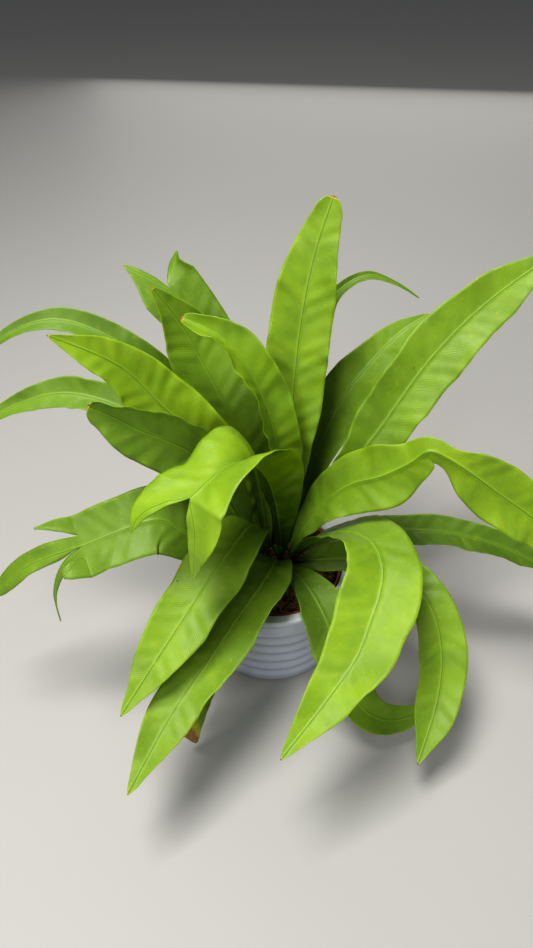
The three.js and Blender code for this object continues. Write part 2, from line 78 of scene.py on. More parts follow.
# ---------------------------------------------------------------- the fronds
# The same midribs as the CAD fronds: [x, y, z] in millimetres from the crown to the tip. Lists are read
# at equal steps from stalk to tip:
#   wide  full width, mm             roll  turn of the blade about its midrib, degrees
#   fold  lift of the half blades    curl  how far the half blades bend towards the margin, degrees
# A pair in fold or curl is [left half, right half], as one looks out from the crown. A forked frond has
# prongs, which share out its columns from the left, in quarters of the blade. The rest is looks only:
#   age   0 for a bright new frond to 1 for a dark old one      wave   height of the margin's waves, mm
#   brown how much of the tip has dried, from 0 to 1            seed   picks its waves
# A frond without brown has no dried tip.
FRONDS = [
  dict(name="frond_back_tall",
    route=[[11, 12, 95], [14, 26, 205], [20, 49, 285], [30, 65, 338], [42, 75, 375]],
    wide=[4, 15, 30, 43, 48, 48, 37, 16], roll=[15, 20], fold=[25, 12, 8, 6], curl=[15, 8],
    age=0.3, wave=1.8, brown=0.004, seed=1),
  dict(name="frond_back_right_long",
    route=[[18, 7, 95], [46, 17, 150], [83, 32, 202], [122, 54, 257], [161, 72, 294], [212, 87, 330]],
    wide=[4, 12, 28, 46, 50, 47, 36, 6], roll=[20, 40, 44, 44], fold=[22, 12, 8], curl=[12, 8],
    age=0.55, wave=2.2, seed=2),
  dict(name="frond_back_right_inner",
    route=[[13, 14, 95], [34, 42, 160], [54, 68, 203], [78, 86, 230], [106, 100, 256], [130, 109, 268]],
    wide=[4, 12, 28, 42, 44, 38, 24, 4], roll=[12, 30], fold=[20, 12], curl=[12],
    age=0.6, wave=1.8, seed=3),
  dict(name="frond_back_narrow",
    route=[[8, 16, 95], [22, 46, 200], [35, 80, 250], [49, 98, 289], [74, 105, 303], [98, 108, 295],
      [119, 110, 282]],
    wide=[3, 9, 17, 20, 18, 12, 7, 2], roll=[15, 25, 40], fold=[22, 15], curl=[12],
    age=0.95, wave=1.4, seed=4),
  dict(name="frond_back_forked",
    route=[[1, 15, 95], [-11, 40, 169], [-36, 66, 222], [-62, 90, 272], [-82, 98, 296]],
    wide=[4, 16, 30, 42, 50, 50], roll=[-15, -28], fold=[24, 12, 4], curl=[10],
    prongs=[
      dict(share=2, route=[[-93, 96, 301], [-104, 99, 307], [-117, 102, 313]], wide=[22, 12, 2]),
      dict(share=2, route=[[-80, 106, 304], [-78, 111, 311], [-75, 116, 319]], wide=[25, 17, 3])],
    age=0.85, wave=1.2, seed=5),
  dict(name="frond_back_left",
    route=[[-3, 10, 96], [-16, 28, 178], [-36, 39, 222], [-54, 51, 256], [-69, 56, 286], [-88, 54, 317]],
    wide=[4, 20, 42, 60, 64, 54, 36, 5], roll=[-20, -36, -48], fold=[24, 12, 8], curl=[12],
    age=0.6, wave=1.6, seed=6),
  dict(name="frond_left_rolled",
    route=[[4, 8, 97], [3, 11, 165], [0, 14, 222], [-13, 19, 258], [-25, 23, 279], [-43, 27, 294],
      [-66, 31, 304]],
    wide=[4, 16, 32, 40, 42, 40, 32, 12], roll=[-20, -30, -30], fold=[30, 32, 28], curl=[25],
    age=0.35, wave=2.8, brown=0.006, seed=7),
  dict(name="frond_left_bright",
    route=[[-6, 4, 96], [-34, 4, 166], [-60, 7, 219], [-84, 9, 246], [-103, 9, 272],
      [-119, 4, 288], [-151, -5, 310]],
    wide=[4, 20, 38, 50, 52, 44, 28, 4], roll=[-30, -50, -55, -50], fold=[20, 10], curl=[8],
    age=0.05, wave=1.8, brown=0.004, seed=8),
  dict(name="frond_left_far",
    route=[[-6, 12, 94], [-38, 32, 158], [-76, 50, 222], [-106, 60, 257], [-138, 66, 276],
      [-170, 68, 284], [-206, 63, 273], [-232, 57, 252]],
    wide=[4, 14, 26, 30, 28, 22, 14, 3], roll=[-20, -35, -45], fold=[22, 14], curl=[12],
    age=1.0, wave=1.4, seed=9),
  dict(name="frond_left_level",
    route=[[-8, 7, 93], [-54, 15, 168], [-101, 27, 219], [-135, 35, 233], [-168, 40, 235],
      [-212, 36, 221], [-243, 30, 202]],
    wide=[4, 16, 28, 34, 32, 26, 16, 3], roll=[-25, -40, -45], fold=[22, 14], curl=[14],
    age=0.85, wave=1.6, seed=10),
  dict(name="frond_left_folded",
    route=[[-8, -2, 95], [-25, -13, 145], [-44, -18, 192], [-60, -25, 228], [-75, -30, 242],
      [-92, -33, 253], [-107, -34, 264], [-124, -35, 274]],
    wide=[4, 14, 30, 44, 50, 48, 40, 18], roll=[-20, -38, -45],
    fold=[[5, 20], [-15, 30], [-28, 36]], curl=[[0, 20], [0, 45], [-10, 60]],
    age=0.75, wave=2.0, seed=11),
  dict(name="frond_centre_star",
    route=[[7, -3, 96], [4, -12, 150], [-5, -28, 205], [-19, -46, 234], [-34, -65, 243], [-54, -85, 236]],
    wide=[5, 14, 22, 32, 42, 52, 62, 66, 60, 56, 62], roll=[0],
    fold=[20, 22, 25, 28, 32, [38, 40], [46, 50], [52, 58], [46, 34], [25, 2], [4, 0]],
    curl=[15, 10, [5, 0], [0, -20], [-15, -50], [-20, -25], 5],
    prongs=[
      dict(share=2, route=[[-42, -92, 231], [-45, -101, 218], [-50, -105, 204], [-54, -107, 184]],
        wide=[30, 28, 18, 3]),
      dict(share=2, route=[[-74, -80, 238], [-82, -82, 233], [-90, -86, 223], [-94, -90, 210]],
        wide=[26, 20, 13, 2.5])],
    age=0.25, wave=1.2, seed=12),
  dict(name="frond_left_three_tips",
    route=[[-5, -7, 92], [-38, -32, 130], [-64, -42, 162], [-84, -46, 181], [-110, -53, 177],
      [-140, -60, 167]],
    wide=[4, 24, 40, 48, 50, 50], roll=[-30, -45, -35], fold=[12, 4], curl=[6],
    prongs=[
      dict(share=1, route=[[-143, -79, 165], [-147, -80, 163], [-151, -80, 160]], wide=[12, 13, 9]),
      dict(share=1, route=[[-152, -70, 160], [-161, -71, 152], [-167, -71, 131], [-166, -71, 96]],
        wide=[10, 7, 5, 2]),
      dict(share=1, route=[[-153, -59, 166], [-170, -60, 158], [-187, -62, 148], [-208, -64, 127],
        [-222, -65, 112]], wide=[14, 20, 19, 14, 2]),
      dict(share=1, route=[[-146, -46, 174], [-160, -45, 174], [-178, -46, 172]], wide=[11, 8, 2])],
    age=0.8, wave=2.6, seed=13),
  dict(name="frond_front_left_upper",
    route=[[-2, -7, 95], [-10, -20, 142], [-19, -41, 169], [-37, -68, 162], [-59, -100, 145],
      [-79, -127, 128], [-104, -160, 105]],
    wide=[4, 8, 25, 42, 47, 42, 27, 4], roll=[0, -10, -20], fold=[12, 6, 8], curl=[8],
    age=0.4, wave=1.8, seed=14),
  dict(name="frond_front_left_lower",
    route=[[5, -9, 93], [2, -27, 117], [-7, -56, 126], [-28, -88, 118], [-49, -121, 108],
      [-70, -152, 97], [-97, -200, 76]],
    wide=[4, 32, 47, 46, 40, 28, 4], roll=[0, -5, -10], fold=[15, 8], curl=[8],
    age=0.5, wave=2.0, seed=15),
  dict(name="frond_front_left_browned",
    route=[[-1, -10, 92], [-16, -38, 104], [-32, -72, 98], [-46, -98, 76], [-57, -116, 44],
      [-65, -127, 17]],
    wide=[4, 12, 20, 22, 20, 14], roll=[0], fold=[18], curl=[10],
    age=0.5, wave=1.4, brown=0.06, seed=16),
  dict(name="frond_front_curled",
    route=[[12, -9, 93], [19, -28, 103], [32, -50, 104], [43, -70, 92], [54, -88, 65], [64, -99, 40],
      [78, -109, 26], [98, -112, 22], [136, -102, 30]],
    wide=[4, 24, 42, 44, 40, 30, 21, 4], roll=[0, 15, 15], fold=[18, 10], curl=[10],
    age=0.6, wave=1.4, seed=17),
  dict(name="frond_front_right",
    route=[[16, -4, 95], [30, -11, 122], [46, -20, 141], [62, -31, 153], [75, -47, 158], [80, -70, 156],
      [77, -88, 150], [69, -107, 141], [58, -130, 131], [40, -152, 121], [4, -192, 106]],
    wide=[6, 30, 44, 52, 58, 55, 43, 26, 4], roll=[5, 5, 0, -10], fold=[[0, 14], [8, 16], 10],
    curl=[[0, 10], 8],
    age=0.2, wave=1.8, seed=18),
  dict(name="frond_right_hanging",
    route=[[18, -5, 92], [34, -12, 102], [58, -20, 112], [84, -32, 117], [110, -52, 117],
      [124, -72, 108], [130, -94, 84], [126, -118, 60], [107, -158, 38]],
    wide=[4, 34, 36, 36, 36, 38, 30, 4], roll=[15, 12, 0], fold=[16, 8], curl=[8],
    age=0.4, wave=1.6, seed=19),
  dict(name="frond_right_arching",
    route=[[15, 2, 97], [35, 3, 142], [53, -1, 169], [66, -6, 183], [81, -12, 193], [102, -18, 212],
      [113, -22, 226], [126, -26, 222], [145, -31, 211], [165, -36, 197], [193, -42, 178], [225, -50, 146]],
    wide=[5, 22, 36, 42, 48, 50, 30, 16, 40, 46, 42, 30, 4], roll=[15, 45, 55, 45],
    fold=[[20, 15], 10, [10, -20], [10, -35], [10, -10], [12, 0]], curl=[8],
    age=0.15, wave=2.0, seed=20),
  dict(name="frond_right_low",
    route=[[20, 3, 92], [46, 8, 110], [80, 8, 119], [115, 6, 120], [149, 2, 121], [191, -4, 112],
      [246, -12, 86]],
    wide=[4, 14, 24, 28, 26, 20, 4], roll=[10, 30, 35], fold=[15], curl=[12],
    age=0.95, wave=1.6, seed=21),
  dict(name="frond_young",
    route=[[5, -7, 97], [4, -14, 112], [2, -22, 125], [1, -27, 135]],
    wide=[3, 9, 12, 4], roll=[0], fold=[35, 25], curl=[20],
    age=0.75, wave=0.8, seed=22),
]


# ---------------------------------------------------------------- settings
COLOUR = {"subtype": "COLOR", "min": 0, "max": 1}
LENGTH = {"unit": "LENGTH", "precision": 5}


class FernSettings(bpy.types.PropertyGroup):
    """Sizes and colours of the fronds and the crown."""
    thickness: FloatProperty(
        name="Blade thickness", description="Thickness of a frond's blade",
        default=0.6 * MM, min=0.2 * MM, max=1.5 * MM, **LENGTH)
    vein_spacing: FloatProperty(
        name="Vein spacing", description="Distance between side veins along the midrib",
        default=1.5 * MM, min=0.5 * MM, max=6 * MM, **LENGTH)
    rows: IntProperty(
        name="Rows", description="Steps along each frond", default=120, min=20, max=300)
    young: FloatVectorProperty(
        name="Young green", description="Colour of a bright new frond",
        default=linear("97B300")[:3], **COLOUR)
    old: FloatVectorProperty(
        name="Old green", description="Colour of a dark old frond",
        default=linear("4B7014")[:3], **COLOUR)
    dried: FloatVectorProperty(
        name="Dried brown", description="Colour of a dried tip or spot",
        default=linear("B5935C")[:3], **COLOUR)
    scale_brown: FloatVectorProperty(
        name="Scale brown", description="Colour of the rhizome's scales",
        default=linear("3E2A1A")[:3], **COLOUR)


class PotSettings(bpy.types.PropertyGroup):
    """Sizes and colours of the two pots and the potting mix."""
    rib_depth: FloatProperty(
        name="Rib depth", description="Depth of the grooves between the cover pot's ribs",
        default=1.6 * MM, min=0, max=3 * MM, **LENGTH)
    glaze: FloatVectorProperty(
        name="Glaze", description="Colour of the cover pot's glaze",
        default=linear("D2D6E3")[:3], **COLOUR)
    # Painted light: the flat rim's glaze is painted paler than the wall, for the light that falls on the top
    # face.
    painted_light_rim_glaze: FloatVectorProperty(
        name="Rim glaze", description="Colour of the glaze on the flat rim",
        default=linear("E2E8E6")[:3], **COLOUR)
    plastic: FloatVectorProperty(
        name="Nursery pot", description="Colour of the nursery pot's plastic",
        default=linear("A5543C")[:3], **COLOUR)
    chips: IntProperty(
        name="Coir chips", description="Number of coir chips on the mix", default=3200, min=0, max=8000)
    fibres: IntProperty(
        name="Coir fibres", description="Number of loose coir fibres", default=320, min=0, max=1500)


class StageSettings(bpy.types.PropertyGroup):
    """The floor, lights and camera, which are not part of the plant."""
    floor: FloatVectorProperty(
        name="Floor", description="Colour of the plain floor",
        default=linear("B4B2AE")[:3], **COLOUR)
    key: FloatProperty(
        name="Key light", description="Power of the soft light overhead", unit="POWER", default=22, min=0)
    window: FloatProperty(
        name="Window light", description="Power of the window's light, which the fill and wall lights follow",
        unit="POWER", default=11, min=0)
    sky: FloatProperty(name="Sky", description="Strength of the light from all round", default=0.15, min=0)


# ---------------------------------------------------------------- materials
# Settings that many nodes share, and the ends of a step that falls from 1 to 0.
TIMES = {"operation": "MULTIPLY"}
TIMES_PLUS = {"operation": "MULTIPLY_ADD"}
SMOOTH_STEP = {"interpolation_type": "SMOOTHSTEP"}
FALLING = (1, 0)


def feed(node, values):
    """Gives a node's inputs their values or links, in order or by name."""
    for key, value in values.items() if isinstance(values, dict) else enumerate(values):
        if isinstance(value, bpy.types.NodeSocket):
            node.id_data.links.new(value, node.inputs[key])
        else:
            node.inputs[key].default_value = value


def add(tree, kind, values=(), out=0, **settings):
    """Adds a node with its settings and its inputs' values or links, and returns one of its outputs."""
    node = tree.nodes.new("ShaderNode" + kind)
    for name, value in settings.items():
        setattr(node, name, value)
    feed(node, values)
    return node.outputs[out]


def new_material(name):
    """A material with only its Principled shader, its node tree and that shader."""
    material = bpy.data.materials.new(name)
    material.use_nodes = True
    return material, material.node_tree, material.node_tree.nodes["Principled BSDF"]


def paint(tree, colour, *layers):
    """Lays colours over a first one. Each layer is a mask, its strength, and a colour as sRGB hex, as a
    socket's value or as a link."""
    for mask, strength, tint in layers:
        share = add(tree, "Math", [mask, strength], **TIMES)
        tint = linear(tint) if isinstance(tint, str) else tint
        colour = add(tree, "Mix", {0: share, 6: colour, 7: tint}, out=2, data_type="RGBA")
    return colour


def frond_materials(fern):
    """Living fern blade. The upper face is waxy and shiny over fine parallel veins; the underside is
    paler and matt. A blade is thin and full of water, so light goes through it and comes out yellow-green."""
    made = []
    for name, paling, gloss in (("waxy_frond_upper_face", 0, 0.2), ("matt_frond_underside", 0.32, 0.5)):
        material, tree, shader = new_material(name)
        place = add(tree, "TexCoord", out="Object")
        blade, tone = (add(tree, "Attribute", out="Vector", attribute_name=key) for key in ("blade", "tone"))
        along, across, margin = add(tree, "SeparateXYZ", [blade]).node.outputs
        age, browned, stalk = add(tree, "SeparateXYZ", [tone]).node.outputs
        from_rib = add(tree, "Math", [across], operation="ABSOLUTE")
        # Noises by the size of their lumps in mm and their octaves, then masks by the range that they step
        # over: mm along the blade, from the midrib or from the margin, or a noise's value.
        mottle, drift, patches, ragged, crisp, spotted, grain = (
            add(tree, "TexNoise", {"Vector": place, "Scale": 1 / (size * MM), "Detail": detail})
            for size, detail in ((24, 3), (9, 1), (13, 2), (4, 3), (1.5, 3), (45, 1), (0.9, 2)))
        speck = add(tree, "TexVoronoi", {"Vector": place, "Scale": 1 / (16 * MM)}, "Distance")
        browned = add(tree, "Math", [browned, add(tree, "Math", [ragged, 0.7, -0.35], **TIMES_PLUS)])
        # Painted shade: the foot of each blade, up to 170 mm out, is darker, partly its own darker green and
        # partly painted shade of the crowded crown.
        inner = add(tree, "MapRange", [along, 30, 170, *FALLING], **SMOOTH_STEP)
        dull = add(tree, "MapRange", [mottle, 0.3, 0.72, *FALLING], **SMOOTH_STEP)
        veined = add(tree, "MapRange", [patches, 0.32, 0.7], **SMOOTH_STEP)
        rib_flank = add(tree, "MapRange", [from_rib, 0.8, 1.5, *FALLING], **SMOOTH_STEP)
        rib_groove = add(tree, "MapRange", [from_rib, 0.3, 0.7, *FALLING], **SMOOTH_STEP)
        pale_edge = add(tree, "MapRange", [margin, 0.1, 0.55, *FALLING], **SMOOTH_STEP)
        dried = add(tree, "MapRange", [browned, 0.35, 0.62], **SMOOTH_STEP)
        yellowing = add(tree, "MapRange", [browned, 0.02, 0.5], **SMOOTH_STEP)
        rare = add(tree, "MapRange", [spotted, 0.58, 0.66], **SMOOTH_STEP)
        dot = add(tree, "MapRange", [speck, 0.03, 0.07, *FALLING], **SMOOTH_STEP)

        # Side veins run from the midrib towards the margin, leaning towards the tip. The real ones are
        # about 1 mm apart; they are drawn half as far again, so that they show.
        slant = add(tree, "Math", [from_rib, -VEIN_LEAN, along], **TIMES_PLUS)
        slant = add(tree, "Math", [drift, 1.6, slant], **TIMES_PLUS)
        phase = add(tree, "Math", [slant, TURN * MM / fern.vein_spacing], **TIMES)
        vein = add(tree, "Math", [phase], operation="SINE")
        vein_share = add(tree, "Math", [vein, 0.09, 0.09], **TIMES_PLUS)

        # Age sets the green, and soft mottling keeps it uneven. The foot of every blade is painted darker:
        # partly the darker green that a blade's foot has, partly painted shade of the crowded crown. The
        # midrib is a dark groove between two pale lines, and the margin is a faint pale line. Tips dry from
        # yellow to crisp brown, the foot of the stalk is dark and wiry, and a few specks are brown.
        colour = paint(tree, [*fern.young, 1], (age, 1, [*fern.old, 1]), (inner, 0.75, "234C02"))
        colour = add(tree, "Mix", {0: dull, 6: colour, 7: linear("C9D6B4")}, out=2, data_type="RGBA",
                     blend_type="MULTIPLY")
        colour = paint(
            tree, colour, (vein_share, veined, "A9CE00"), (rib_flank, 0.3, "A0C81E"),
            (rib_groove, 0.75, "274E06"), (pale_edge, 0.22, "B4D814"),
            (1, paling, "94B048"), (yellowing, 0.7, "C6BE3A"),
            (dried, 1, paint(tree, linear("5C3D1C"), (crisp, 1, [*fern.dried, 1]))),
            (stalk, 1, "2A3A0C"), (dot, add(tree, "Math", [rare, 0.75], **TIMES), "4A3A14"))

        uneven = add(tree, "Math", [mottle, 0.16, gloss - 0.08], **TIMES_PLUS)
        crisp_gloss = add(tree, "Math", [dried, 0.8], **TIMES)
        ridges = add(tree, "Math", [vein, add(tree, "Math", [veined, 0.5], **TIMES)], **TIMES)
        relief = add(tree, "Math", [grain, 0.5, ridges], **TIMES_PLUS)
        feed(shader, {
            "Base Color": colour,
            "Roughness": add(tree, "Math", [uneven, crisp_gloss], operation="MAXIMUM"),
            "Normal": add(tree, "Bump", {"Strength": 0.75, "Distance": 0.12 * MM, "Height": relief}),
            "IOR": 1.45, "Specular IOR Level": 0.5, "Subsurface Weight": 0.12,
            "Subsurface Radius": (0.8, 1.0, 0.05), "Subsurface Scale": 1.0 * MM})
        made.append(material)
    return made


def rhizome_material(fern):
    """Fern rhizome clothed in dry papery scales: matt, dark brown, with paler scale edges."""
    material, tree, shader = new_material("scaly_rhizome")
    place = add(tree, "TexCoord", out="Object")
    shade, grain = (add(tree, "TexNoise", {"Vector": place, "Scale": 1 / (size * MM), "Detail": detail})
                    for size, detail in ((3, 4), (0.8, 3)))
    colour = paint(tree, linear("1E130B"), (shade, 1, "6B4A2C"), (1, 0.5, [*fern.scale_brown, 1]))
    feed(shader, {
        "Base Color": colour, "Roughness": 0.85,
        "Normal": add(tree, "Bump", {"Strength": 0.6, "Distance": 0.3 * MM, "Height": grain})})
    return material


def glaze_material(pot, rim_z):
    """Satin glaze on earthenware. It is glassy and smooth and has a few pin-sized specks. It is painted
    darker in the grooves and at the foot, partly glaze that pools there and partly painted shade, so the ribs
    show as pale lines, and the flat rim is painted paler, as painted light on the top face."""
    material, tree, shader = new_material("satin_glazed_earthenware")
    place = add(tree, "TexCoord", out="Object")
    height = add(tree, "SeparateXYZ", [place], "Z")
    # Painted shade: the grooves between the ribs and the foot are painted darker, partly glaze that pools
    # there and partly painted shade.
    pooled_glaze_and_shade = add(tree, "Attribute", out="Fac", attribute_name="pooled_glaze_and_shade")
    cloud, swell = (add(tree, "TexNoise", {"Vector": place, "Scale": 1 / (size * MM), "Detail": detail})
                    for size, detail in ((30, 3), (5, 2)))
    speck = add(tree, "TexVoronoi", {"Vector": place, "Scale": 1 / (7 * MM)}, "Distance")
    # Painted light: the flat rim at the top is painted paler, as light falls on it.
    top = add(tree, "MapRange", [height, (rim_z - 1.6) * MM, (rim_z - 0.5) * MM], **SMOOTH_STEP)
    dot = add(tree, "MapRange", [speck, 0.03, 0.06, *FALLING], **SMOOTH_STEP)
    feed(shader, {
        "Base Color": paint(tree, [*pot.glaze, 1], (cloud, 0.25, "E0E2E8"), (pooled_glaze_and_shade, 0.62, "8D93A6"),
                            (top, 1, [*pot.painted_light_rim_glaze, 1]), (dot, 0.35, "7C7F88")),
        "Roughness": add(tree, "Math", [cloud, 0.14, 0.24], **TIMES_PLUS),
        "Normal": add(tree, "Bump", {"Strength": 0.25, "Distance": 0.25 * MM, "Height": swell}),
        "IOR": 1.52, "Coat Weight": 0.25, "Coat Roughness": 0.12})
    return material


def plastic_material(pot):
    """Injection-moulded polypropylene, terracotta coloured: an even satin with scuffs and dust."""
    material, tree, shader = new_material("moulded_terracotta_polypropylene")
    place = add(tree, "TexCoord", out="Object")
    clouds = add(tree, "TexNoise", {"Vector": place, "Scale": 1 / (12 * MM), "Detail": 4, "Roughness": 0.6})
    grain = add(tree, "TexNoise", {"Vector": place, "Scale": 1 / (0.7 * MM), "Detail": 2})
    dust = add(tree, "MapRange", [clouds, 0.45, 0.75], **SMOOTH_STEP)
    feed(shader, {
        "Base Color": paint(tree, [*pot.plastic, 1], (dust, 0.35, "C08A6C")),
        "Roughness": add(tree, "Math", [dust, 0.2, 0.42], **TIMES_PLUS),
        "Normal": add(tree, "Bump", {"Strength": 0.3, "Distance": 0.1 * MM, "Height": grain})})
    return material


def mix_materials():
    """Chopped coir and composted fibre. The bulk is dark and damp; chips and fibres on top are dry,
    from dark brown to straw, and quite matt."""
    bulk, tree, shader = new_material("damp_coir_bulk")
    place = add(tree, "TexCoord", out="Object")
    shade, relief = (
        add(tree, "TexNoise", {"Vector": place, "Scale": 1 / (size * MM), "Detail": 4, "Roughness": 0.7})
        for size in (2.2, 1.6))
    crumb = add(tree, "MapRange", [shade, 0.3, 1])
    feed(shader, {
        "Base Color": paint(tree, linear("281B10"), (crumb, 1, "8C6A44")), "Roughness": 0.95,
        "Normal": add(tree, "Bump", {"Strength": 0.9, "Distance": 0.8 * MM, "Height": relief})})

    chips, tree, shader = new_material("dry_coir_chips")
    place = add(tree, "TexCoord", out="Object")
    shade = add(tree, "Attribute", out="Fac", attribute_name="shade")
    streak = add(tree, "TexNoise", {"Vector": place, "Scale": 1 / (0.8 * MM), "Detail": 3, "Roughness": 0.6})
    darker, paler = (add(tree, "MapRange", [shade, *ends]) for ends in ((0, 0.5), (0.5, 1)))
    feed(shader, {
        "Base Color": paint(tree, linear("6A4A2C"), (darker, 1, "B58E60"), (paler, 1, "EACFA4"),
                            (streak, 0.4, "6A4A2E")),
        "Roughness": 0.9,
        "Normal": add(tree, "Bump", {"Strength": 0.5, "Distance": 0.2 * MM, "Height": streak})})
    return [bulk, chips]


# ---------------------------------------------------------------- mesh helpers
def new_object(name, data, place=(0, 0, 0), turn=(0, 0, 0)):
    """An object in the scene, at a place in metres, turned by an Euler angle."""
    made = bpy.data.objects.new(name, data)
    made.location, made.rotation_euler = place, turn
    bpy.context.scene.collection.objects.link(made)
    return made


def mesh_piece(name, points_mm, faces, materials, node, face_material=None, smooth=True):
    """A mesh object from points in millimetres. It rides on the body and stands for its CAD node."""
    mesh = bpy.data.meshes.new(name)
    mesh.from_pydata((np.asarray(points_mm) * MM).tolist(), [], faces)
    for material in materials:
        mesh.materials.append(material)
    if face_material is not None:
        mesh.polygons.foreach_set("material_index", np.asarray(face_material, np.int32))
    mesh.polygons.foreach_set("use_smooth", np.full(len(mesh.polygons), smooth))
    mesh.validate()
    mesh.update()
    piece = new_object(name, mesh)
    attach(piece, BODY)
    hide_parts(node)
    return piece


def give(piece, name, values):
    """Stores a number or a vector at each point of a piece, for its material to read."""
    values = np.asarray(values, np.float32)
    kind, field = ("FLOAT", "value") if values.ndim == 1 else ("FLOAT_VECTOR", "vector")
    piece.data.attributes.new(name, kind, "POINT").data.foreach_set(field, values.ravel())


def turned(profile, sides):
    """Points and quads of a profile of [radius, height] turned about Z. Ends on the axis are one point."""
    points, rings = [], []
    for radius, height in profile:
        if radius < 1e-6:
            rings.append([len(points)] * sides)
            points.append((0, 0, height))
            continue
        rings.append(list(range(len(points), len(points) + sides)))
        for side in range(sides):
            angle = TURN * side / sides
            points.append((radius * math.cos(angle), radius * math.sin(angle), height))
    faces = []
    for low, high in zip(rings, rings[1:]):
        for side in range(sides):
            after = (side + 1) % sides
            face = [low[side], low[after], high[after], high[side]]
            faces.append([p for i, p in enumerate(face) if p != face[i - 1]])
    return points, faces


def rounded(corners, radius, steps):
    """A [radius, height] profile with its inner corners rounded by short arcs."""
    profile = [corners[0]]
    for before, corner, after in zip(corners, corners[1:], corners[2:]):
        before, corner, after = map(np.array, (before, corner, after))
        to_before, to_after = before - corner, after - corner
        cut = min(radius, 0.45 * np.linalg.norm(to_before), 0.45 * np.linalg.norm(to_after))
        start, end = corner + unit(to_before) * cut, corner + unit(to_after) * cut
        for step in range(steps + 1):
            t = step / steps
            profile.append(tuple((1 - t) ** 2 * start + 2 * t * (1 - t) * corner + t * t * end))
    return profile + [corners[-1]]


# ---------------------------------------------------------------- frond shapes
def read_list(values, t):
    """Equally spaced values read at t with a smooth curve that doesn't overshoot."""
    values = np.asarray(values, float)
    if len(values) == 1:
        return np.full_like(t, values[0])
    last = len(values) - 1
    place = np.clip(t, 0, 1) * last
    cell = np.minimum(place.astype(int), last - 1)
    f = place - cell
    a, b = values[cell], values[cell + 1]
    slope_a = (b - values[np.maximum(cell - 1, 0)]) / 2
    slope_b = (values[np.minimum(cell + 2, last)] - a) / 2
    value = ((2 * f**3 - 3 * f**2 + 1) * a + (f**3 - 2 * f**2 + f) * slope_a
             + (3 * f**2 - 2 * f**3) * b + (f**3 - f**2) * slope_b)
    return np.clip(value, np.minimum(a, b), np.maximum(a, b))


def read_half(values, t, half):
    """The values of one half of a blade, 0 for the left and 1 for the right, read at t."""
    return read_list([v[half] if isinstance(v, list) else v for v in values], t)


def unit(vectors):
    """Vectors made one long."""
    return vectors / np.maximum(np.linalg.norm(vectors, axis=-1, keepdims=True), 1e-9)


def smoothed(values, passes):
    """Values along a line, averaged with their neighbours; the two ends stay."""
    values = values.copy()
    for _ in range(passes):
        values[1:-1] = (values[:-2] + 2 * values[1:-1] + values[2:]) / 4
    return values


def centre_line(route, rows):
    """rows + 1 points at equal steps along a smooth curve through the route, and its length."""
    route = np.asarray(route, float)
    ends = [2 * route[0] - route[1], *route, 2 * route[-1] - route[-2]]
    line = []
    for p0, p1, p2, p3 in zip(ends, ends[1:], ends[2:], ends[3:]):
        d0, d1, d2 = (max(np.linalg.norm(b - a), 1e-6) ** 0.5
                      for a, b in ((p0, p1), (p1, p2), (p2, p3)))
        m1 = ((p1 - p0) / d0 - (p2 - p0) / (d0 + d1) + (p2 - p1) / d1) * d1
        m2 = ((p2 - p1) / d1 - (p3 - p1) / (d1 + d2) + (p3 - p2) / d2) * d1
        f = np.linspace(0, 1, 40, endpoint=False)[:, None]
        line.append((2 * f**3 - 3 * f**2 + 1) * p1 + (f**3 - 2 * f**2 + f) * m1
                    + (3 * f**2 - 2 * f**3) * p2 + (f**3 - f**2) * m2)
    line = smoothed(np.vstack([*line, route[-1:]]), 60)
    length = np.concatenate([[0], np.cumsum(np.linalg.norm(np.diff(line, axis=0), axis=1))])
    at = np.linspace(0, length[-1], rows + 1)
    return np.stack([np.interp(at, length, line[:, i]) for i in range(3)], 1), length[-1]


def across_places(columns):
    """Places across a blade from 1 at the left margin to -1 at the right, closer near the midrib."""
    even = np.linspace(1, -1, columns + 1)
    return np.sign(even) * np.abs(even) ** 1.45


